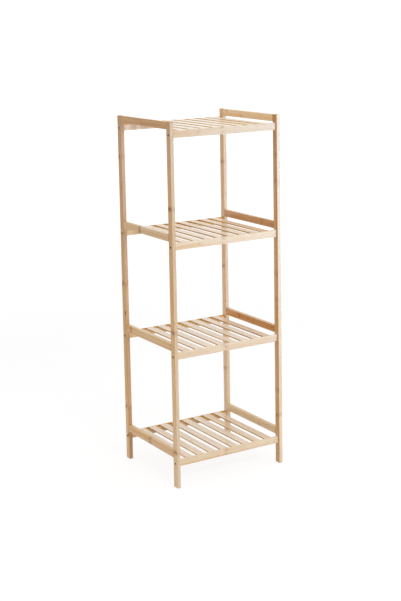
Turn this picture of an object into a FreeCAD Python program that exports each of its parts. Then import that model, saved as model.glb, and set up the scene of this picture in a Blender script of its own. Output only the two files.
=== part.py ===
"""Four-tier slatted bamboo shelving unit.

Two side frames of posts and rails carry four slatted shelves. The front and back rail of every
shelf are screwed through the posts, and the slats lie in rebates along those rails.
X runs along the width, Y from front to back, Z up. The origin is on the floor, in the middle of
the footprint. All sizes are in millimetres.
"""
import FreeCAD, Part
import math
import os

# Overall size
overall_width = 385.0
overall_depth = 322.0
overall_height = 1100.0

# Side frames
post_thickness = 12.0
post_depth = 22.0
post_edge_radius = 1.5
side_rail_height = 22.0
side_rail_edge_radius = 1.0

# Shelves
shelf_count = 4
leg_height = 66.0
guard_gap = 3.0
shelf_rail_thickness = 10.0
shelf_rail_height = 22.0
shelf_rail_edge_radius = 1.0
rebate_lip = 3.5

# Slats
slat_count = 8
slat_width = 25.0
slat_thickness = 4.0
slat_end_gap = 24.5
slat_end_clearance = 0.25
slat_edge_radius = 0.8

# Hexagon socket screws that hold the shelf rails to the posts
screw_length = 50.0
screw_diameter = 5.0
screw_tip_length = 4.0
screw_tip_diameter = 2.0
screw_head_diameter = 7.0
screw_head_height = 4.0
screw_head_recess = 0.6
screw_socket_width = 4.0
screw_socket_depth = 2.5
screw_clearance = 0.1
screw_head_clearance = 0.2
screw_tip_clearance = 1.0

# Dowels that hold the side rails to the posts
dowel_diameter = 5.0
dowel_length = 24.0
dowel_clearance = 0.1
dowel_end_clearance = 0.5
dowel_chamfer = 0.6

# Places worked out from the sizes above
half_width = overall_width / 2
half_depth = overall_depth / 2
inner_half_width = half_width - post_thickness
post_middle_y = half_depth - post_depth / 2
shelf_pitch = (
    overall_height - side_rail_height - guard_gap - shelf_rail_height - leg_height
) / (shelf_count - 1)
shelf_bottoms = [leg_height + level * shelf_pitch for level in range(shelf_count)]
side_rail_bottoms = [bottom + shelf_rail_height + guard_gap for bottom in shelf_bottoms]
rebate_floor = shelf_rail_height - slat_thickness
screw_height_in_rail = rebate_floor / 2
screw_seat_depth = screw_head_recess + screw_head_height
dowel_offset = side_rail_height / 4
slat_pitch = (2 * (inner_half_width - slat_end_gap) - slat_width) / (slat_count - 1)

LEFT, RIGHT = -1, 1
FRONT, BACK = -1, 1
SIDE_NAMES = {LEFT: "left", RIGHT: "right"}
FACE_NAMES = {FRONT: "front", BACK: "back"}
X_AXIS = FreeCAD.Vector(1, 0, 0)
Y_AXIS = FreeCAD.Vector(0, 1, 0)


def box(low, high):
    """Block between two opposite corners."""
    low = FreeCAD.Vector(*low)
    size = FreeCAD.Vector(*high) - low
    return Part.makeBox(size.x, size.y, size.z, low)


def round_edges(shape, radius, along):
    """Rounds the straight edges that run along one axis."""
    edges = [
        edge for edge in shape.Edges
        if abs((edge.lastVertex().Point - edge.firstVertex().Point).normalize() * along) > 0.99
    ]
    return shape.makeFillet(radius, edges)


def hole(start, along, diameter, depth):
    """Round tool that starts at a point and runs along a direction."""
    return Part.makeCylinder(diameter / 2, depth, start, along)


def screw_places():
    """Every place where a screw enters a post: side, face, outer point and inward direction."""
    places = []
    for bottom in shelf_bottoms:
        for side in (LEFT, RIGHT):
            for face in (FRONT, BACK):
                point = FreeCAD.Vector(
                    side * half_width, face * post_middle_y, bottom + screw_height_in_rail
                )
                places.append((side, face, point, X_AXIS * -side))
    return places


def dowel_places():
    """Every place where a dowel crosses from a post into a side rail: side, face, joint point."""
    places = []
    for bottom in side_rail_bottoms:
        for side in (LEFT, RIGHT):
            for face in (FRONT, BACK):
                for step in (-1, 1):
                    point = FreeCAD.Vector(
                        side * (half_width - post_thickness / 2),
                        face * (half_depth - post_depth),
                        bottom + side_rail_height / 2 + step * dowel_offset,
                    )
                    places.append((side, face, point))
    return places


def dowel_hole(point):
    """Tool for both halves of a dowel's hole, centred on the joint between post and rail."""
    reach = dowel_length / 2 + dowel_end_clearance
    return hole(point - Y_AXIS * reach, Y_AXIS, dowel_diameter + dowel_clearance, 2 * reach)


def make_post(side, face):
    """Upright with screw holes through its thickness and dowel holes in its inner edge."""
    x_outer, x_inner = side * half_width, side * inner_half_width
    y_outer, y_inner = face * half_depth, face * (half_depth - post_depth)
    post = box(
        (min(x_outer, x_inner), min(y_outer, y_inner), 0),
        (max(x_outer, x_inner), max(y_outer, y_inner), overall_height),
    )
    post = post.makeFillet(post_edge_radius, post.Edges)
    tools = []
    for at_side, at_face, point, inward in screw_places():
        if (at_side, at_face) == (side, face):
            tools.append(hole(point, inward, screw_diameter + screw_clearance, post_thickness))
            tools.append(
                hole(point, inward, screw_head_diameter + screw_head_clearance, screw_seat_depth)
            )
    for at_side, at_face, point in dowel_places():
        if (at_side, at_face) == (side, face):
            tools.append(dowel_hole(point))
    return post.cut(tools)


def make_side_rail(side, level):
    """Rail of a side frame, flush with the posts that it is dowelled to."""
    x_outer, x_inner = side * half_width, side * inner_half_width
    y_end = half_depth - post_depth
    bottom = side_rail_bottoms[level]
    rail = box(
        (min(x_outer, x_inner), -y_end, bottom),
        (max(x_outer, x_inner), y_end, bottom + side_rail_height),
    )
    rail = round_edges(rail, side_rail_edge_radius, Y_AXIS)
    tools = [
        dowel_hole(point) for at_side, at_face, point in dowel_places()
        if at_side == side and bottom < point.z < bottom + side_rail_height
    ]
    return rail.cut(tools)


def make_shelf_rail(face, level):
    """Front or back rail of a shelf, with the rebate for the slats and a screw hole in each end."""
    bottom = shelf_bottoms[level]
    y_outside = face * (post_middle_y + shelf_rail_thickness / 2)
    y_inside = face * (post_middle_y - shelf_rail_thickness / 2)
    y_lip = y_outside - face * rebate_lip
    rail = box(
        (-inner_half_width, min(y_outside, y_inside), bottom),
        (inner_half_width, max(y_outside, y_inside), bottom + shelf_rail_height),
    )
    rail = round_edges(rail, shelf_rail_edge_radius, X_AXIS)
    rebate = box(
        (-inner_half_width, min(y_lip, y_inside), bottom + rebate_floor),
        (inner_half_width, max(y_lip, y_inside), bottom + shelf_rail_height),
    )
    tools = [rebate]
    for side, at_face, point, inward in screw_places():
        if at_face == face and bottom < point.z < bottom + shelf_rail_height:
            depth = screw_seat_depth + screw_length + screw_tip_clearance
            tools.append(hole(point, inward, screw_diameter + screw_clearance, depth))
    return rail.cut(tools)


def make_slat(level, number):
    """Slat that lies in the rebates of the front and back rail, level with their tops."""
    y_end = post_middle_y + shelf_rail_thickness / 2 - rebate_lip - slat_end_clearance
    x_middle = (number - (slat_count - 1) / 2) * slat_pitch
    floor = shelf_bottoms[level] + rebate_floor
    slat = box(
        (x_middle - slat_width / 2, -y_end, floor),
        (x_middle + slat_width / 2, y_end, floor + slat_thickness),
    )
    return round_edges(slat, slat_edge_radius, Y_AXIS)


def socket_tool(start, inward):
    """Six-sided tool for the socket in a screw's head."""
    corner_radius = screw_socket_width / math.sqrt(3)
    corners = []
    for turn in range(7):
        angle = turn * math.pi / 3
        corners.append(
            start + FreeCAD.Vector(0, math.cos(angle), math.sin(angle)) * corner_radius
        )
    return Part.Face(Part.makePolygon(corners)).extrude(inward * screw_socket_depth)


def make_screw(point, inward):
    """Screw with a sunk round head, a six-sided socket and a tapered tip."""
    seat = point + inward * screw_seat_depth
    top = point + inward * screw_head_recess
    tip_start = seat + inward * (screw_length - screw_tip_length)
    head = Part.makeCylinder(screw_head_diameter / 2, screw_head_height, top, inward)
    shank = Part.makeCylinder(
        screw_diameter / 2, screw_length - screw_tip_length, seat, inward
    )
    tip = Part.makeCone(
        screw_diameter / 2, screw_tip_diameter / 2, screw_tip_length, tip_start, inward
    )
    return head.fuse([shank, tip]).removeSplitter().cut(socket_tool(top, inward))


def make_dowel(point):
    """Round wooden dowel with chamfered ends, centred on a joint."""
    dowel = Part.makeCylinder(
        dowel_diameter / 2, dowel_length, point - Y_AXIS * (dowel_length / 2), Y_AXIS
    )
    rims = [edge for edge in dowel.Edges if edge.isClosed()]
    return dowel.makeChamfer(dowel_chamfer, rims)


def make_nodes():
    """Every named piece of the unit."""
    nodes = {}
    for side, side_name in SIDE_NAMES.items():
        for face, face_name in FACE_NAMES.items():
            nodes[f"post_{face_name}_{side_name}"] = make_post(side, face)
        for level in range(shelf_count):
            nodes[f"side_rail_{side_name}_{level + 1}"] = make_side_rail(side, level)
    for level in range(shelf_count):
        shelf = f"shelf_{level + 1}"
        for face, face_name in FACE_NAMES.items():
            nodes[f"{shelf}_{face_name}_rail"] = make_shelf_rail(face, level)
        for number in range(slat_count):
            nodes[f"{shelf}_slat_{number + 1}"] = make_slat(level, number)
    nodes["frame_screws"] = Part.makeCompound(
        [make_screw(point, inward) for side, face, point, inward in screw_places()]
    )
    nodes["side_rail_dowels"] = Part.makeCompound(
        [make_dowel(point) for side, face, point in dowel_places()]
    )
    return nodes


os.makedirs("parts", exist_ok=True)
for name, shape in make_nodes().items():
    shape.exportStep(f"parts/{name}.step")
    print(name, len(shape.Solids), "solids, volume", round(shape.Volume, 1), shape.isValid())
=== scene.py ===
"""Four-tier slatted bamboo shelving unit: finishes, studio stage and camera.

The packed model is the frame, and every piece of it keeps its own shape. Each wooden member gets a
bamboo finish that runs along it, with strips, fibres and node marks of its own. The screws get a dark
bronze finish and the hidden dowels a plain turned one. Lengths are in metres.
"""
import math
from typing import NamedTuple

import bpy
from bpy.props import FloatProperty, FloatVectorProperty, PointerProperty
from bpy.types import Operator, Panel, PropertyGroup
from mathutils import Matrix, Vector


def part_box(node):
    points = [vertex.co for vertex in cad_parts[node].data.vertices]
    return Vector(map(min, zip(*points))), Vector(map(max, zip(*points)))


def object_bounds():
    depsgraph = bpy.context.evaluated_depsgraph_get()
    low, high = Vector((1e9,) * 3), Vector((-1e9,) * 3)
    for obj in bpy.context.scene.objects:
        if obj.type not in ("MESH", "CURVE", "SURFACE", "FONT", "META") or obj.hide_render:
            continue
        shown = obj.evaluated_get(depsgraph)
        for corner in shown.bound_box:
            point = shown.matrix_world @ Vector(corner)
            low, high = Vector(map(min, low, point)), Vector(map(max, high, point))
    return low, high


bl_info = {
    "name": "Slatted Bamboo Shelving Unit",
    "version": (1, 0, 0),
    "blender": (4, 5, 0),
    "location": "View3D > Sidebar > Shelving",
    "description": "Bamboo, screw and dowel finishes, studio stage and camera for a slatted shelving unit",
    "category": "Material",
}

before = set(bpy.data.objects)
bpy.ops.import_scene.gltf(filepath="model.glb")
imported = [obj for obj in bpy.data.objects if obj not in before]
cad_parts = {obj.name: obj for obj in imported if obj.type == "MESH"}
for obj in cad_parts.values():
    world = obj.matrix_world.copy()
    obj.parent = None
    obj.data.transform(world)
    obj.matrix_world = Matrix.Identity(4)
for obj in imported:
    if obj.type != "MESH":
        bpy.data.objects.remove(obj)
CAD_LOW, CAD_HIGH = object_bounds()

AXES = (Vector((1, 0, 0)), Vector((0, 1, 0)), Vector((0, 0, 1)))
UP = AXES[2]
WHITE = (1, 1, 1, 1)
RELIEF_DEPTH = 0.0003

# Strips, and the fibres and grain drawn out along them, with scales in features for each metre
STRIP_SALT = 0.5
GLUE_FADE = (0.00005, 0.00025)
GLUE_SHARE = 0.3
GLUE_DEPTH = 0.5
DRAWN_OUT = 0.97
FIBRE_SCALE = 1400
FLECK_FADE = (0.54, 0.70)
FLECK_SHARE = 0.28
FLECK_ROUGHNESS = 0.10
GRAIN_SCALE = 300
GRAIN_CONTRAST = 0.55
STRETCH_SALT = 7.0
YELLOWEST_HUE = 0.509
BLUSH_TURN = -0.016

# Node marks: a thin line in a wide halo on every strip, some of them astray by a share of the spacing
NODE_JITTER = 0.02
STRAY_FROM = 0.75
STRAY_BY = 0.22
NODE_RAGGEDNESS = 0.012
NODE_LINE_FADE = (0.0004, 0.0030)
NODE_LINE_SHARE = 0.35
NODE_LINE_RISE = 0.3
NODE_HALO_FADE = (0.0010, 0.0130)
NODE_HALO_SHARE = 0.5
NODE_ROUGHNESS = 0.15
FAINTEST_NODE = 0.5
EDGE_NODE_LOSS = 0.7

# Faces of a member, its seams and its bare cuts at the ends and in the rebate, with painted shade at the
# seams and in the rebate
EDGE_FACING = (0.4, 0.8)
END_FACING = (0.55, 0.85)
BUNDLE_SCALE = 900.0
BUNDLE_FADE = (0.15, 0.45)
BUNDLE_SHARES = (0.75, 0.15)
SEAM_FADE = (0.0003, 0.0012)
SEAM_SHADE_SHARE = 0.6
REBATE_SHADE_SHARE = 0.85
REBATE_CLEARANCE = 0.0003
NO_REBATE = (0.0, 0.0)
BARE_ROUGHNESS = 0.4

# Seeds that give every member its own pattern
POST_SEED = 14.37
SIDE_RAIL_SEED = 31.73
SHELF_RAIL_SEED = 53.17
SLAT_SEED = 71.91
SEED_STEP = 1.31

# Tones and nodes that differ from slat to slat and from back rail to back rail
PALEST_SLAT = -0.14
SLAT_TONE_RANGE = 0.14
GOLDEN_SHARE = 0.618
BROWNER_SLATS = ("shelf_1_slat_7", "shelf_1_slat_8", "shelf_2_slat_8", "shelf_4_slat_7")
BROWNER_BY = 0.16
FIRST_SLAT_NODE = -0.12
SLAT_NODE_STEP = 0.083
FIRST_BACK_RAIL_NODE = -0.15
BACK_RAIL_NODE_STEP = 0.067

# Screws and dowels
COATING_SCALE = 900
TURNED_SCALE = 1200
TURNED_DRAW = (1.0, 0.06, 1.0)

# Studio and picture
FLOOR_EDGES = 128
FLOOR_RADIUS = 30
FLOOR_FADE = (1.5, 5.0)
STUDIO_FRONT = (0.35, -0.94, 0.0)
PICTURE_HEIGHT = 601
SENSOR_SIZE = 36.0


def srgb(red, green, blue):
    """Scene-linear colour from the 8-bit values that a screen shows."""
    shares = (value / 255 for value in (red, green, blue))
    return tuple(s / 12.92 if s <= 0.04045 else ((s + 0.055) / 1.055) ** 2.4 for s in shares)


def colour_property(name, description, default):
    """Colour that a user can change."""
    return FloatVectorProperty(
        name=name, description=description, default=default, subtype="COLOR", min=0, max=1
    )


def length_property(name, description, default):
    """Length in metres that a user can change."""
    return FloatProperty(
        name=name, description=description, default=default, unit="LENGTH", subtype="DISTANCE"
    )


def share_property(name, description, default):
    """Share from 0 to 1 that a user can change."""
    return FloatProperty(
        name=name, description=description, default=default, subtype="FACTOR", min=0, max=1
    )


def brightness_property(name, description, default):
    """Brightness that a user can change, where 1 is white."""
    return FloatProperty(name=name, description=description, default=default, min=0)


def power_property(name, description, default):
    """Power of a lamp in watts that a user can change."""
    return FloatProperty(name=name, description=description, default=default, unit="POWER", min=0)


def angle_property(name, description, degrees):
    """Angle that a user can change, with its default in degrees."""
    return FloatProperty(
        name=name, description=description, default=math.radians(degrees), subtype="ANGLE"
    )


def pixel_property(name, description, default):
    """Distance in pixels of the picture that a user can change."""
    return FloatProperty(name=name, description=description, default=default, subtype="PIXEL")


class BambooFinish(PropertyGroup):
    """Colours and pattern of the lacquered bamboo."""

    straw: colour_property("Straw", "Palest strips", srgb(242, 222, 197))
    honey: colour_property("Honey", "Middling strips", srgb(222, 174, 107))
    caramel: colour_property("Caramel", "Darkest strips", srgb(181, 118, 56))
    fibre: colour_property("Fibre", "Fibre flecks and glue lines", srgb(160, 108, 62))
    # The knot colour also paints the shade at the seams where members meet.
    knot: colour_property("Knot", "Node marks across a strip", srgb(146, 70, 18))
    # The rebate colour is painted shade in the rebate that the slats' ends lie in.
    rebate: colour_property("Rebate", "Bare cut faces of the rebates", srgb(224, 176, 92))
    strip_width: length_property("Strip Width", "Width of one bamboo strip", 0.0075)
    node_spacing: length_property("Node Spacing", "Distance between the nodes of a culm", 0.37)
    roughness: share_property("Roughness", "Roughness of the satin lacquer", 0.42)
    coat: share_property("Coat", "Share of the surface under a smooth lacquer film", 0.7)


class ScrewFinish(PropertyGroup):
    """Finish of the frame screws."""

    metal: colour_property("Metal", "Coated steel", srgb(70, 40, 22))
    worn: colour_property("Worn", "Coating where it is rubbed", srgb(112, 80, 58))
    roughness: share_property("Roughness", "Roughness of the coating", 0.5)


class DowelFinish(PropertyGroup):
    """Finish of the hidden dowels."""

    pale: colour_property("Pale", "Light grain of the turned wood", srgb(214, 184, 142))
    dark: colour_property("Dark", "Dark grain of the turned wood", srgb(184, 146, 100))
    roughness: share_property("Roughness", "Roughness of the bare wood", 0.7)


class StudioStage(PropertyGroup):
    """Floor, surroundings and lamps."""

    floor_bounce: share_property("Floor Bounce", "Light that the floor throws on the unit", 0.7)
    floor_shade: share_property("Floor Shade", "Share of the floor's white that takes shadow", 0.2)
    floor_glow: share_property("Floor Glow", "Share of the floor's white that never darkens", 0.84)
    back_light: brightness_property("Back Light", "Surroundings at the back", 1.0)
    front_light: brightness_property("Front Light", "Surroundings at the front", 0.14)
    key_power: power_property("Key Power", "Softbox at the front right", 14)
    front_power: power_property("Front Power", "Softbox above the front", 82)
    top_power: power_property("Top Power", "Softbox overhead", 12)


class PhotoCamera(PropertyGroup):
    """Camera at the photograph's viewing angle."""

    azimuth: angle_property("Azimuth", "Turn to the left of the front", 31.4692)
    elevation: angle_property("Elevation", "Height angle above the horizon", 8.7612)
    roll: angle_property("Roll", "Lean of the picture", -1.0485)
    distance: length_property("Distance", "From the lens to the aim point", 3.84652)
    aim_height: length_property("Aim Height", "Aim point above the unit's middle", 0.28376)
    aim_side: length_property("Aim Side", "Aim point to the right of the unit's middle", -0.001286)
    focal_pixels: pixel_property("Focal Pixels", "Focal length in picture pixels", 1233.954)
    axis_row: pixel_property("Axis Row", "Picture row that the lens axis meets", 200.0)


class Wiring:
    """Adds nodes to one tree and joins them."""

    def __init__(self, tree):
        self.tree = tree

    def add(self, kind, inputs=None, **settings):
        """New node with its settings made and its inputs linked or set."""
        node = self.tree.nodes.new(kind)
        for name, value in settings.items():
            setattr(node, name, value)
        for key, value in (inputs or {}).items():
            self.feed(node.inputs[key], value)
        return node

    def feed(self, socket, value):
        """Links an input to another node's output, or sets the input's own value."""
        if isinstance(value, bpy.types.NodeSocket):
            self.tree.links.new(value, socket)
        else:
            socket.default_value = value

    def math(self, operation, *values):
        """Result of a Math node."""
        node = self.add("ShaderNodeMath", dict(enumerate(values)), operation=operation)
        return node.outputs[0]

    def times(self, first, second):
        """Product of two numbers."""
        return self.math("MULTIPLY", first, second)

    def plus(self, base, value, factor):
        """Base plus a value times a factor."""
        return self.math("MULTIPLY_ADD", value, factor, base)

    def centred(self, value):
        """Value from 0 to 1, moved to lie evenly around 0."""
        return self.math("SUBTRACT", value, 0.5)

    def vector(self, operation, *values):
        """Vector result of a Vector Math node."""
        node = self.add("ShaderNodeVectorMath", dict(enumerate(values)), operation=operation)
        return node.outputs["Vector"]

    def dot(self, first, second):
        """Dot product of two vectors."""
        node = self.add("ShaderNodeVectorMath", {0: first, 1: second}, operation="DOT_PRODUCT")
        return node.outputs["Value"]

    def scaled(self, vector, scale):
        """Vector times a number."""
        node = self.add("ShaderNodeVectorMath", {0: vector, "Scale": scale}, operation="SCALE")
        return node.outputs["Vector"]

    def ramp(self, value, low, high, start=0.0, end=1.0):
        """Number eased from start to end as the value goes from low to high."""
        node = self.add(
            "ShaderNodeMapRange",
            {"Value": value, "From Min": low, "From Max": high, "To Min": start, "To Max": end},
            interpolation_type="SMOOTHSTEP",
        )
        return node.outputs["Result"]

    def clamped(self, value):
        """Value kept between 0 and 1."""
        return self.add("ShaderNodeClamp", {0: value}).outputs[0]

    def between(self, factor, first, second):
        """Number between two numbers, which a Mix node takes in its inputs 2 and 3."""
        return self.add("ShaderNodeMix", {0: factor, 2: first, 3: second}).outputs[0]

    def mix(self, factor, first, second):
        """Colour between two colours, which a Mix node takes in its inputs 6 and 7."""
        node = self.add("ShaderNodeMix", {0: factor, 6: first, 7: second}, data_type="RGBA")
        return node.outputs[2]

    def random(self, *parts):
        """Three even random numbers that depend only on the given parts."""
        key = self.add("ShaderNodeCombineXYZ", dict(enumerate(parts)))
        noise = self.add("ShaderNodeTexWhiteNoise", {"Vector": key.outputs[0]})
        return self.add("ShaderNodeSeparateColor", {0: noise.outputs["Color"]}).outputs

    def noise(self, vector, scale, detail, roughness=0.5):
        """Value of a Noise texture."""
        node = self.add(
            "ShaderNodeTexNoise",
            {"Vector": vector, "Scale": scale, "Detail": detail, "Roughness": roughness},
        )
        return node.outputs["Fac"]


def bare_tree(owner):
    """Emptied node tree of a material or world."""
    owner.use_nodes = True
    owner.node_tree.nodes.clear()
    return Wiring(owner.node_tree)


def new_group(name, inputs, outputs):
    """Empty shader node group with named sockets: its wiring, its inputs and its outputs."""
    tree = bpy.data.node_groups.new(name, "ShaderNodeTree")
    for direction, sockets in (("INPUT", inputs), ("OUTPUT", outputs)):
        for kind, names in sockets.items():
            for socket in names:
                tree.interface.new_socket(socket, in_out=direction, socket_type=f"NodeSocket{kind}")
    wires = Wiring(tree)
    return wires, wires.add("NodeGroupInput").outputs, wires.add("NodeGroupOutput").inputs


BAMBOO_GROUP = "Laminated Bamboo"
BAMBOO_INPUTS = {
    "Vector": ("Position", "Facing", "Along Axis", "Across Axis"),
    "Float": (
        "Seed", "Tone", "Tone Drift", "Edge Tone", "Edge Tone Drift", "Richness", "Richness Drift",
        "Edge Richness", "Edge Richness Drift", "Hue Shift", "Edge Hue Shift", "Strip Width",
        "Strip Contrast", "Node Place", "Node Spacing", "Node Strength", "Seam Place", "Rebate Reach",
        "Rebate Floor", "Roughness", "Coat",
    ),
    "Color": ("Straw", "Honey", "Caramel", "Fibre", "Knot", "Rebate"),
}
BAMBOO_OUTPUTS = {"Color": ("Color",), "Float": ("Roughness", "Coat", "Height")}


class BambooPattern:
    """Laminated bamboo, wired feature by feature from the inputs of its node group."""

    def __init__(self, wires, given):
        self.wires = wires
        self.given = given
        self.along = wires.dot(given["Position"], given["Along Axis"])
        self.on_edge = self.facing("Across Axis", EDGE_FACING)
        self.on_end = self.facing("Along Axis", END_FACING)
        self.lay_strips()
        self.draw_fibres()
        self.mark_nodes()
        self.cut_rebate()
        self.bare = wires.math("MAXIMUM", self.on_end, self.rebate)

    def facing(self, axis, fade):
        """Mask of the faces that look along one of the member's axes."""
        share = self.wires.math("ABSOLUTE", self.wires.dot(self.given["Facing"], self.given[axis]))
        return self.wires.ramp(share, *fade)

    def lay_strips(self):
        """Strips side by side, each with its own random numbers and with glue lines at its sides."""
        wires, given = self.wires, self.given
        width, seed = given["Strip Width"], given["Seed"]
        across = wires.dot(given["Position"], given["Across Axis"])
        strips = wires.math("ADD", wires.math("DIVIDE", across, width), seed)
        self.strip = wires.math("FLOOR", strips)
        self.shift, self.stray, self.blush = wires.random(self.strip, seed, STRIP_SALT)
        share = wires.math("FRACT", strips)
        side = wires.math("MINIMUM", share, wires.math("SUBTRACT", 1.0, share))
        self.glue = wires.ramp(wires.times(side, width), *GLUE_FADE, 1.0, 0.0)

    def draw_fibres(self):
        """Fibres, flecks and grain drawn out along the member, different on every strip."""
        wires, given = self.wires, self.given
        squeeze = wires.scaled(given["Along Axis"], wires.times(self.along, -DRAWN_OUT))
        drawn = wires.vector("ADD", given["Position"], squeeze)
        offset = wires.add("ShaderNodeCombineXYZ", {0: self.shift, 1: self.stray, 2: given["Seed"]})
        drawn = wires.vector("ADD", drawn, offset.outputs[0])
        self.fibres = wires.noise(drawn, FIBRE_SCALE, detail=2.0, roughness=0.55)
        self.fleck = wires.ramp(self.fibres, *FLECK_FADE)
        self.grain = wires.centred(wires.noise(drawn, GRAIN_SCALE, detail=3.0))

    def mark_nodes(self):
        """Node marks, near each other on the strips of one member but not quite in line."""
        wires, given = self.wires, self.given
        spacing = given["Node Spacing"]
        place = wires.math("DIVIDE", wires.math("SUBTRACT", self.along, given["Node Place"]), spacing)
        jitter = wires.times(wires.centred(self.shift), NODE_JITTER)
        astray = wires.times(wires.math("GREATER_THAN", self.stray, STRAY_FROM), STRAY_BY)
        count = wires.math("ADD", wires.math("ADD", place, jitter), astray)
        self.stretch = wires.math("FLOOR", count)
        nearest = wires.math("FLOOR", wires.math("ADD", count, 0.5))
        apart = wires.times(wires.math("SUBTRACT", count, nearest), spacing)
        apart = wires.math("ABSOLUTE", wires.plus(apart, self.grain, NODE_RAGGEDNESS))
        self.line = wires.ramp(apart, *NODE_LINE_FADE, 1.0, 0.0)
        halo = wires.ramp(apart, *NODE_HALO_FADE, 1.0, 0.0)
        chance = wires.random(self.strip, nearest, given["Seed"])[0]
        strength = wires.ramp(chance, 0.0, 1.0, FAINTEST_NODE, 1.0)
        mark = wires.plus(wires.times(halo, NODE_HALO_SHARE), self.line, NODE_LINE_SHARE)
        mark = wires.times(wires.times(mark, strength), given["Node Strength"])
        self.mark = wires.times(mark, wires.plus(1.0, self.on_edge, -EDGE_NODE_LOSS))

    def cut_rebate(self):
        """Mask of the rebate that the slats' ends lie in, where shade is painted and the lacquer is left
        off.
        """
        wires, given = self.wires, self.given
        place = wires.add("ShaderNodeSeparateXYZ", {0: given["Position"]}).outputs
        inside = wires.math("LESS_THAN", wires.math("ABSOLUTE", place["Y"]), given["Rebate Reach"])
        above = wires.math("GREATER_THAN", place["Z"], given["Rebate Floor"])
        self.rebate = wires.times(inside, above)

    def of_face(self, name):
        """Value of the wide faces or of the edges, with its drift along the member."""
        wires, given = self.wires, self.given
        wide = wires.plus(given[name], self.along, given[f"{name} Drift"])
        edge = wires.plus(given[f"Edge {name}"], self.along, given[f"Edge {name} Drift"])
        return wires.between(self.on_edge, wide, edge)

    def tone(self):
        """Tone of the face, varied by the grain and by each strip's stretch between two nodes."""
        wires, given = self.wires, self.given
        salt = wires.math("ADD", given["Seed"], STRETCH_SALT)
        chance = wires.centred(wires.random(self.strip, self.stretch, salt)[0])
        tone = wires.plus(self.of_face("Tone"), chance, given["Strip Contrast"])
        return wires.plus(tone, self.grain, GRAIN_CONTRAST)

    def wood(self):
        """Colour of the plain wood: straw, honey or caramel by its tone, with its hue and richness."""
        wires, given = self.wires, self.given
        tone = self.tone()
        colour = wires.mix(wires.clamped(wires.times(tone, 2.0)), given["Straw"], given["Honey"])
        colour = wires.mix(wires.clamped(wires.plus(-1.0, tone, 2.0)), colour, given["Caramel"])
        hue = wires.between(self.on_edge, given["Hue Shift"], given["Edge Hue Shift"])
        hue = wires.math("ADD", wires.plus(YELLOWEST_HUE, self.blush, BLUSH_TURN), hue)
        richness = self.of_face("Richness")
        tinted = wires.add(
            "ShaderNodeHueSaturation", {"Hue": hue, "Saturation": richness, "Color": colour}
        )
        return tinted.outputs[0]

    def seam(self):
        """Mask of the thin seam where the member's end meets the next one, painted there as shade of the
        groove between the two parts.
        """
        wires, given = self.wires, self.given
        to_end = wires.math("SUBTRACT", given["Seam Place"], wires.math("ABSOLUTE", self.along))
        return wires.ramp(to_end, *SEAM_FADE, SEAM_SHADE_SHARE, 0.0)

    def end_grain(self):
        """Colour of the sawn ends: darker, with the dots of cut fibre bundles."""
        wires, given = self.wires, self.given
        bundles = wires.add("ShaderNodeTexVoronoi", {"Vector": given["Position"], "Scale": BUNDLE_SCALE})
        dots = wires.ramp(bundles.outputs["Distance"], *BUNDLE_FADE, *BUNDLE_SHARES)
        return wires.mix(dots, given["Honey"], given["Fibre"])

    def colour(self):
        """Colour of the wood with its flecks, glue lines, node marks and end grain, and painted shade at
        the seams and in the rebate.
        """
        wires, given = self.wires, self.given
        colour = wires.mix(wires.times(self.fleck, FLECK_SHARE), self.wood(), given["Fibre"])
        colour = wires.mix(wires.times(self.glue, GLUE_SHARE), colour, given["Fibre"])
        colour = wires.mix(self.mark, colour, given["Knot"])
        # Painted shade of the groove at the member's ends, in the knot colour
        colour = wires.mix(self.seam(), colour, given["Knot"])
        # Painted shade in the rebate
        colour = wires.mix(wires.times(self.rebate, REBATE_SHADE_SHARE), colour, given["Rebate"])
        return wires.mix(self.on_end, colour, self.end_grain())

    def roughness(self):
        """Roughness of the lacquer, greater on flecks, node marks and bare wood."""
        roughness = self.wires.plus(self.given["Roughness"], self.fleck, FLECK_ROUGHNESS)
        roughness = self.wires.plus(roughness, self.mark, NODE_ROUGHNESS)
        return self.wires.plus(roughness, self.bare, BARE_ROUGHNESS)

    def coat(self):
        """Lacquer film, left off bare wood and thin on node marks."""
        uncoated = self.wires.math("MAXIMUM", self.bare, self.mark)
        return self.wires.times(self.wires.math("SUBTRACT", 1.0, uncoated), self.given["Coat"])

    def height(self):
        """Relief of fibres, with sunk glue lines and raised node lines."""
        height = self.wires.plus(self.fibres, self.glue, -GLUE_DEPTH)
        return self.wires.plus(height, self.line, NODE_LINE_RISE)


def bamboo_group():
    """Shader node group of the laminated bamboo, built once."""
    if BAMBOO_GROUP in bpy.data.node_groups:
        return bpy.data.node_groups[BAMBOO_GROUP]
    wires, given, out = new_group(BAMBOO_GROUP, BAMBOO_INPUTS, BAMBOO_OUTPUTS)
    pattern = BambooPattern(wires, given)
    wires.feed(out["Color"], pattern.colour())
    wires.feed(out["Roughness"], pattern.roughness())
    wires.feed(out["Coat"], pattern.coat())
    wires.feed(out["Height"], pattern.height())
    return wires.tree


def finish_surface(wires, height, relief, inputs):
    """Principled surface with a fine relief, joined to the material's output."""
    bump = wires.add(
        "ShaderNodeBump", {"Height": height, "Strength": relief, "Distance": RELIEF_DEPTH}
    )
    shader = wires.add("ShaderNodeBsdfPrincipled", {**inputs, "Normal": bump.outputs[0]})
    wires.add("ShaderNodeOutputMaterial", {"Surface": shader.outputs[0]})


def grain_axes(node):
    """Axes along and across a member: its longest and its middle extent."""
    low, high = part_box(node)
    order = sorted(range(3), key=lambda axis: high[axis] - low[axis])
    return AXES[order[2]], AXES[order[1]]


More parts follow.
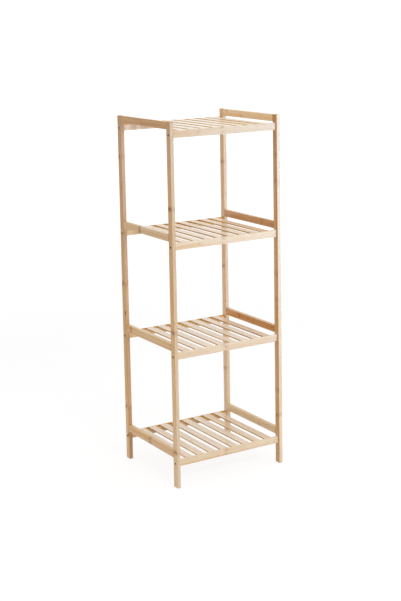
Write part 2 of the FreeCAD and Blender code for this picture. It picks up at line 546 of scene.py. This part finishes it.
class Grain(NamedTuple):
    """Wood of one bamboo member.

    A node lies at node_place along the member, and others node_spacing from it, where 0 stands for the
    finish's own spacing. Tone 0 is straw, 0.5 honey and 1 caramel, and strip_contrast is how far apart
    the tones of the strips may lie. Richness 1 leaves a colour as it is, and a hue shift is a share of
    the colour circle. The wide faces and the edges have values of their own. A drift is the change of a
    value for each metre along the member.
    """

    node_place: float
    tone: float
    edge_tone: float
    tone_drift: float = 0.0
    edge_tone_drift: float = 0.0
    richness: float = 1.0
    edge_richness: float = 1.0
    richness_drift: float = 0.0
    edge_richness_drift: float = 0.0
    hue_shift: float = 0.0
    edge_hue_shift: float = 0.0
    strip_contrast: float = 0.24
    node_spacing: float = 0.0
    node_strength: float = 1.0


def socket_name(field):
    """Name of the group's input that takes a field of the finish or of a member's wood."""
    return field.replace("_", " ").title()


def bamboo_material(node, seed, grain, rebate=NO_REBATE):
    """Lacquered bamboo for one member, with its own strips, node marks and rebate for the slats."""
    look = bpy.context.scene.bamboo_finish
    material = bpy.data.materials.new(f"bamboo {node.replace('_', ' ')}")
    wires = bare_tree(material)
    places = wires.add("ShaderNodeTexCoord").outputs
    along, across = grain_axes(node)
    low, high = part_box(node)
    values = {socket_name(field): value for field, value in grain._asdict().items()}
    for name in BAMBOO_INPUTS["Color"]:
        values[name] = (*getattr(look, name.lower()), 1)
    values.update({
        "Position": places["Object"],
        "Facing": places["Normal"],
        "Along Axis": along,
        "Across Axis": across,
        "Seed": seed,
        "Strip Width": look.strip_width,
        "Node Spacing": grain.node_spacing or look.node_spacing,
        "Seam Place": max(abs(low.dot(along)), abs(high.dot(along))),
        "Rebate Reach": rebate[0],
        "Rebate Floor": rebate[1],
        "Roughness": look.roughness,
        "Coat": look.coat,
    })
    made = wires.add("ShaderNodeGroup", values, node_tree=bamboo_group()).outputs
    finish_surface(wires, made["Height"], 0.25, {
        "Base Color": made["Color"],
        "Roughness": made["Roughness"],
        "Coat Weight": made["Coat"],
        "Coat Roughness": 0.22,
        "IOR": 1.4,
    })
    return material


def screw_material(look):
    """Dark bronze coating, paler and smoother where it is rubbed."""
    material = bpy.data.materials.new("dark bronze coating")
    wires = bare_tree(material)
    place = wires.add("ShaderNodeTexCoord").outputs["Object"]
    rub = wires.noise(place, COATING_SCALE, detail=4.0, roughness=0.6)
    worn = wires.ramp(rub, low=0.55, high=0.75)
    finish_surface(wires, rub, 0.15, {
        "Base Color": wires.mix(worn, (*look.metal, 1), (*look.worn, 1)),
        "Roughness": wires.ramp(rub, 0.3, 0.7, start=look.roughness + 0.1, end=look.roughness - 0.1),
        "Metallic": 0.3,
    })
    return material


def dowel_material(look):
    """Bare turned wood with its grain drawn out along the dowels."""
    material = bpy.data.materials.new("bare turned wood")
    wires = bare_tree(material)
    place = wires.add("ShaderNodeTexCoord").outputs["Object"]
    grain = wires.noise(wires.vector("MULTIPLY", place, TURNED_DRAW), TURNED_SCALE, detail=3.0)
    darker = wires.ramp(grain, low=0.35, high=0.65)
    finish_surface(wires, grain, 0.3, {
        "Base Color": wires.mix(darker, (*look.pale, 1), (*look.dark, 1)),
        "Roughness": wires.ramp(grain, 0.3, 0.7, start=look.roughness - 0.05, end=look.roughness + 0.1),
    })
    return material


def dress(node, material):
    """Gives a piece of the frame its finish."""
    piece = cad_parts[node]
    piece.data.materials.clear()
    piece.data.materials.append(material)


def members(*words):
    """Names of the pieces whose names hold all these words, in order."""
    found = sorted(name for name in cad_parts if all(word in name for word in words))
    if not found:
        raise RuntimeError(f"the frame has no piece named with {words}")
    return found


# The tones, richness and drifts of the posts and side rails are set face by face to the colour each face
# showed in its light, so they hold painted light and shade besides the bamboo's own colour, and the posts'
# drifts paint the light changing from foot to top.
POST_GRAINS = {
    "post_back_left": Grain(
        node_place=0.170, node_spacing=0.40, node_strength=1.3,
        tone=0.33, tone_drift=0.47, richness=1.17, richness_drift=-0.1, hue_shift=0.005,
        edge_tone=0.64, edge_richness=0.91, edge_richness_drift=-0.28,
    ),
    "post_back_right": Grain(
        node_place=0.236, node_spacing=0.346, node_strength=0.75,
        tone=0.03, tone_drift=0.37, richness=1.27, richness_drift=-0.27,
        edge_tone=0.05, edge_richness=1.47, edge_richness_drift=-0.65,
    ),
    "post_front_left": Grain(
        node_place=0.111, node_spacing=0.368, node_strength=1.3, strip_contrast=0.12,
        tone=0.20, tone_drift=0.50, richness=1.28, richness_drift=-0.27, hue_shift=-0.005,
        edge_tone=0.22, edge_tone_drift=0.30, edge_richness=0.91, edge_richness_drift=-0.35,
    ),
    "post_front_right": Grain(
        node_place=0.239,
        tone=0.46, tone_drift=0.28, richness=1.03,
        edge_tone=0.10, edge_tone_drift=-0.14, edge_richness=1.16, edge_richness_drift=-0.62,
    ),
}
SIDE_RAIL_GRAINS = {
    "side_rail_left_1": Grain(
        node_place=0.004, tone=0.38, edge_tone=0.45, richness=1.2, hue_shift=-0.010
    ),
    "side_rail_left_2": Grain(node_place=0.110, tone=0.40, edge_tone=0.38, richness=1.18),
    "side_rail_left_3": Grain(node_place=0.033, tone=0.46, edge_tone=0.42, richness=1.02),
    "side_rail_left_4": Grain(
        node_place=0.092, node_strength=0.4, tone=0.80, edge_tone=0.50, richness=1.1
    ),
    "side_rail_right_1": Grain(
        node_place=-0.050, node_strength=0.4, tone=-0.04, edge_tone=0.30, richness=1.42
    ),
    "side_rail_right_2": Grain(
        node_place=0.060, tone=0.71, edge_tone=0.60, richness=1.12, hue_shift=-0.009
    ),
    "side_rail_right_3": Grain(
        node_place=-0.075, node_strength=0.5, tone=0.69, edge_tone=0.55, hue_shift=-0.008
    ),
    "side_rail_right_4": Grain(
        node_place=0.120, node_strength=0.4, tone=-0.02, edge_tone=0.15, richness=1.65
    ),
}


class ShelfWood(NamedTuple):
    """Wood of one shelf. The slats' side value says how much darker a slat's sides are than its top, as
    painted shade between the slats, and the back rails' darker, richer default tone is painted shade of
    their faces seen between the slats.
    """

    slat_richness: float
    front_rail_richness: float
    slat_side_tone: float = 0.84
    front_rail_tone: float = 0.03
    back_rail_richness: float = 1.3
    back_rail_tone: float = 0.16


SHELF_WOODS = {
    "shelf_1": ShelfWood(slat_richness=1.0, front_rail_richness=1.2),
    "shelf_2": ShelfWood(slat_richness=0.95, front_rail_richness=1.0),
    "shelf_3": ShelfWood(slat_richness=1.12, front_rail_richness=0.95),
    # The top shelf's slats are paler and greyer, as painted sheen of light glancing off them, and its
    # front rail darker and greyer, as painted shade.
    "shelf_4": ShelfWood(
        slat_richness=0.68, slat_side_tone=0.34, front_rail_richness=0.6, front_rail_tone=0.30,
        back_rail_richness=0.7, back_rail_tone=0.10,
    ),
}


def shelf_of(node):
    """Name of the shelf that a shelf rail or a slat belongs to."""
    return node.rsplit("_", 2)[0]


def shelf_rail_grain(node, number):
    """Wood of a shelf's front or back rail."""
    wood = SHELF_WOODS[shelf_of(node)]
    # The back rails' tone and richness are set for their faces seen in shade between the slats: painted
    # shade.
    if "back" in node:
        return Grain(
            node_place=FIRST_BACK_RAIL_NODE + BACK_RAIL_NODE_STEP * number, node_strength=0.4,
            tone=wood.back_rail_tone, richness=wood.back_rail_richness, edge_tone=0.04,
        )
    # The front faces of the front rails grow paler and greyer towards the right end and darker and richer
    # towards the left: painted light falling from the right.
    return Grain(
        node_place=-0.012, node_strength=0.4,
        tone=wood.front_rail_tone, tone_drift=-0.2,
        richness=wood.front_rail_richness, richness_drift=-0.6, edge_tone=0.04,
    )


def slat_rebate(shelf):
    """Reach to the front and back, and floor, of the rebates that a shelf's slats lie in."""
    low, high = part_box(f"{shelf}_slat_1")
    return high.y + REBATE_CLEARANCE, low.z - REBATE_CLEARANCE


def slat_grain(node, number):
    """Wood of a slat: a pale tone of its own on top, and darker, richer sides as painted shade between the
    slats.
    """
    wood = SHELF_WOODS[shelf_of(node)]
    tone = PALEST_SLAT + SLAT_TONE_RANGE * (number * GOLDEN_SHARE % 1)
    if node in BROWNER_SLATS:
        tone += BROWNER_BY
    return Grain(
        node_place=FIRST_SLAT_NODE + SLAT_NODE_STEP * number, node_strength=0.25, strip_contrast=0.5,
        tone=tone, richness=wood.slat_richness,
        edge_tone=tone + wood.slat_side_tone, edge_richness=1.4, edge_hue_shift=0.014,
    )


class SHELVING_OT_finish_posts(Operator):
    """Bamboo finish for the four posts"""

    bl_idname = "shelving.finish_posts"
    bl_label = "Finish Posts"

    def execute(self, context):
        for number, (node, grain) in enumerate(POST_GRAINS.items()):
            dress(node, bamboo_material(node, POST_SEED + SEED_STEP * number, grain))
        return {"FINISHED"}


class SHELVING_OT_finish_side_rails(Operator):
    """Bamboo finish for the rails of the two side frames"""

    bl_idname = "shelving.finish_side_rails"
    bl_label = "Finish Side Rails"

    def execute(self, context):
        for number, (node, grain) in enumerate(SIDE_RAIL_GRAINS.items()):
            dress(node, bamboo_material(node, SIDE_RAIL_SEED + SEED_STEP * number, grain))
        return {"FINISHED"}


class SHELVING_OT_finish_shelf_rails(Operator):
    """Bamboo finish for the front and back rail of every shelf"""

    bl_idname = "shelving.finish_shelf_rails"
    bl_label = "Finish Shelf Rails"

    def execute(self, context):
        for number, node in enumerate(members("shelf_", "rail")):
            seed = SHELF_RAIL_SEED + SEED_STEP * number
            rebate = slat_rebate(shelf_of(node))
            dress(node, bamboo_material(node, seed, shelf_rail_grain(node, number), rebate))
        return {"FINISHED"}


class SHELVING_OT_finish_slats(Operator):
    """Bamboo finish for the slats of every shelf"""

    bl_idname = "shelving.finish_slats"
    bl_label = "Finish Slats"

    def execute(self, context):
        for number, node in enumerate(members("slat_")):
            seed = SLAT_SEED + SEED_STEP * number
            dress(node, bamboo_material(node, seed, slat_grain(node, number)))
        return {"FINISHED"}


class SHELVING_OT_finish_screws(Operator):
    """Dark bronze finish for the frame screws"""

    bl_idname = "shelving.finish_screws"
    bl_label = "Finish Screws"

    def execute(self, context):
        dress("frame_screws", screw_material(context.scene.screw_finish))
        return {"FINISHED"}


class SHELVING_OT_finish_dowels(Operator):
    """Plain turned finish for the hidden dowels"""

    bl_idname = "shelving.finish_dowels"
    bl_label = "Finish Dowels"

    def execute(self, context):
        dress("side_rail_dowels", dowel_material(context.scene.dowel_finish))
        return {"FINISHED"}


def seen_directly(wires):
    """Share that is 1 for rays that show the surroundings: to the camera, in gloss and through glass."""
    path = wires.add("ShaderNodeLightPath").outputs
    gloss = wires.math("MAXIMUM", path["Is Glossy Ray"], path["Is Transmission Ray"])
    return wires.math("MAXIMUM", path["Is Camera Ray"], gloss)


def floor_material(look):
    """White that takes a faint shadow near the unit and glows evenly further away."""
    material = bpy.data.materials.new("white studio floor")
    wires = bare_tree(material)
    place = wires.add("ShaderNodeTexCoord").outputs["Object"]
    away = wires.add("ShaderNodeVectorMath", {0: place}, operation="LENGTH").outputs["Value"]
    white = wires.ramp(away, *FLOOR_FADE, look.floor_glow, 1.0)
    seen = seen_directly(wires)
    bounce, shown = ((value,) * 3 + (1,) for value in (look.floor_bounce, look.floor_shade))
    shade = wires.add("ShaderNodeBsdfDiffuse", {"Color": wires.mix(seen, bounce, shown)})
    glow = wires.add("ShaderNodeEmission", {"Color": WHITE, "Strength": wires.times(seen, white)})
    both = wires.add("ShaderNodeAddShader", {0: shade.outputs[0], 1: glow.outputs[0]})
    wires.add("ShaderNodeOutputMaterial", {"Surface": both.outputs[0]})
    return material


def lay_floor(look):
    """Round studio floor that runs far out on every side of the unit."""
    bpy.ops.object.select_all(action="DESELECT")
    bpy.ops.mesh.primitive_circle_add(vertices=FLOOR_EDGES, radius=FLOOR_RADIUS, fill_type="NGON")
    floor = bpy.context.object
    floor.name = "studio_floor"
    floor.data.materials.append(floor_material(look))


def light_surroundings(look):
    """Surroundings that look white, and light the unit more from the back than from the front."""
    scene = bpy.context.scene
    scene.world = scene.world or bpy.data.worlds.new("studio")
    wires = bare_tree(scene.world)
    heading = wires.add("ShaderNodeTexCoord").outputs["Generated"]
    soft = wires.add("ShaderNodeMapRange", {
        "Value": wires.dot(heading, STUDIO_FRONT),
        "From Min": -1.0,
        "From Max": 1.0,
        "To Min": look.back_light,
        "To Max": look.front_light,
    })
    seen = seen_directly(wires)
    unseen = wires.times(soft.outputs[0], wires.math("SUBTRACT", 1.0, seen))
    strength = wires.math("ADD", seen, unseen)
    sky = wires.add("ShaderNodeBackground", {"Color": WHITE, "Strength": strength})
    wires.add("ShaderNodeOutputWorld", {"Surface": sky.outputs[0]})


def add_lamp(name, place, aim, size, power, in_gloss):
    """Rectangular softbox that faces an aim point, and may be kept out of reflections."""
    bpy.ops.object.light_add(type="AREA", location=place)
    lamp = bpy.context.object
    lamp.name = name
    lamp.data.shape = "RECTANGLE"
    lamp.data.size, lamp.data.size_y = size
    lamp.data.energy = power
    lamp.visible_glossy = in_gloss
    lamp.rotation_euler = (Vector(aim) - Vector(place)).to_track_quat("-Z", "Y").to_euler()


def hang_lamps(look):
    """Softboxes at the front right, above the front and overhead."""
    add_lamp(
        "key_softbox", place=(1.35, -1.75, 0.75), aim=(0, 0, 0.6), size=(0.4, 1.5),
        power=look.key_power, in_gloss=False,
    )
    add_lamp(
        "front_softbox", place=(-0.2, -4.4, 3.9), aim=(0, 0, 0.4), size=(2.0, 1.4),
        power=look.front_power, in_gloss=False,
    )
    add_lamp(
        "top_softbox", place=(0.2, -0.3, 2.8), aim=(0, 0, 0.5), size=(1.6, 1.6),
        power=look.top_power, in_gloss=True,
    )


class SHELVING_OT_stage(Operator):
    """White studio floor, surroundings and lamps"""

    bl_idname = "shelving.stage"
    bl_label = "Set Stage"

    def execute(self, context):
        look = context.scene.studio_stage
        lay_floor(look)
        light_surroundings(look)
        hang_lamps(look)
        return {"FINISHED"}


def camera_axes(view):
    """Directions to the right, up and ahead of the camera."""
    turn, rise = view.azimuth, view.elevation
    ahead = Vector((
        math.sin(turn) * math.cos(rise), math.cos(turn) * math.cos(rise), -math.sin(rise)
    ))
    level = ahead.cross(UP).normalized()
    right = Matrix.Rotation(-view.roll, 3, ahead) @ level
    return right, right.cross(ahead), ahead


class SHELVING_OT_camera(Operator):
    """Camera at the photograph's viewing angle"""

    bl_idname = "shelving.camera"
    bl_label = "Place Camera"

    def execute(self, context):
        view = context.scene.photo_camera
        right, up, ahead = camera_axes(view)
        aim = (CAD_LOW + CAD_HIGH) / 2 + up * view.aim_height + right * view.aim_side
        bpy.ops.object.camera_add(location=aim - ahead * view.distance)
        camera = context.object
        camera.name = "photo_camera"
        camera.rotation_euler = Matrix((right, up, -ahead)).transposed().to_euler()
        camera.data.sensor_width = SENSOR_SIZE
        camera.data.lens = view.focal_pixels / PICTURE_HEIGHT * SENSOR_SIZE
        camera.data.shift_y = view.axis_row / PICTURE_HEIGHT - 0.5
        context.scene.camera = camera
        context.scene.view_settings.view_transform = "Standard"
        return {"FINISHED"}


class SHELVING_PT_panel(Panel):
    """Steps that dress and show the shelving unit"""

    bl_idname = "SHELVING_PT_panel"
    bl_label = "Shelving Unit"
    bl_space_type = "VIEW_3D"
    bl_region_type = "UI"
    bl_category = "Shelving"

    def draw(self, context):
        for step in STEPS:
            self.layout.operator(step.bl_idname)
        for name, group in GROUPS.items():
            box = self.layout.box()
            box.label(text=group.__doc__)
            for field in group.__annotations__:
                box.prop(getattr(context.scene, name), field)


GROUPS = {
    "bamboo_finish": BambooFinish,
    "screw_finish": ScrewFinish,
    "dowel_finish": DowelFinish,
    "studio_stage": StudioStage,
    "photo_camera": PhotoCamera,
}
STEPS = (
    SHELVING_OT_finish_posts,
    SHELVING_OT_finish_side_rails,
    SHELVING_OT_finish_shelf_rails,
    SHELVING_OT_finish_slats,
    SHELVING_OT_finish_screws,
    SHELVING_OT_finish_dowels,
    SHELVING_OT_stage,
    SHELVING_OT_camera,
)


def register():
    """Adds the properties, the steps and the panel to Blender."""
    for kind in (*GROUPS.values(), *STEPS, SHELVING_PT_panel):
        bpy.utils.register_class(kind)
    for name, group in GROUPS.items():
        setattr(bpy.types.Scene, name, PointerProperty(type=group))


def unregister():
    """Takes the properties, the steps and the panel out of Blender."""
    for name in GROUPS:
        delattr(bpy.types.Scene, name)
    for kind in reversed((*GROUPS.values(), *STEPS, SHELVING_PT_panel)):
        bpy.utils.unregister_class(kind)


def main():
    """Registers the add-on, dresses the unit, sets the stage and places the camera."""
    register()
    bpy.ops.shelving.finish_posts()
    bpy.ops.shelving.finish_side_rails()
    bpy.ops.shelving.finish_shelf_rails()
    bpy.ops.shelving.finish_slats()
    bpy.ops.shelving.finish_screws()
    bpy.ops.shelving.finish_dowels()
    bpy.ops.shelving.stage()
    bpy.ops.shelving.camera()


if __name__ == "__main__":
    main()
